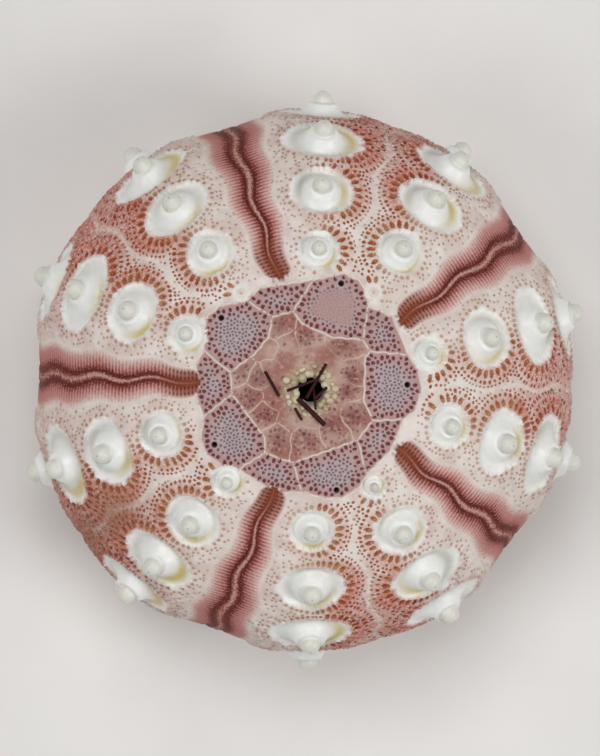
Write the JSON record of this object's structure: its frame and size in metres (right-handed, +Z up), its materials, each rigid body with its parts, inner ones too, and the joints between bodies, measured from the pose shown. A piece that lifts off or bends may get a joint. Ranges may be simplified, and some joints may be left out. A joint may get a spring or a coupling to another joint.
{
  "type": "sea urchin shell",
  "caption": "Empty, hollow sea urchin shell: a flattened globe with columns of pale knobs in pitted hollows, sinuous dark grooved bands, a plated top with a small vent, and an open mouth below.",
  "frame": {"origin": "centre of the shell's footprint on the surface it stands on", "axes": "+Z up the shell's own axis from the mouth to the vent, +X to the picture's right and +Y to its top"},
  "size_m": [0.0522, 0.0548, 0.0297],
  "materials": {
    "shell": "dry, porous mineral, pale knobs with a faint gloss, pink to red-brown between them",
    "spine": "dark purple-brown, satin"
  },
  "bodies": {
    "root": {"test": "shell", "spine_fragment_1": "spine", "spine_fragment_2": "spine", "spine_fragment_3": "spine", "spine_fragment_4": "spine", "spine_fragment_5": "spine", "spine_fragment_6": "spine", "spine_fragment_7": "spine"}
  },
  "joints": []
}
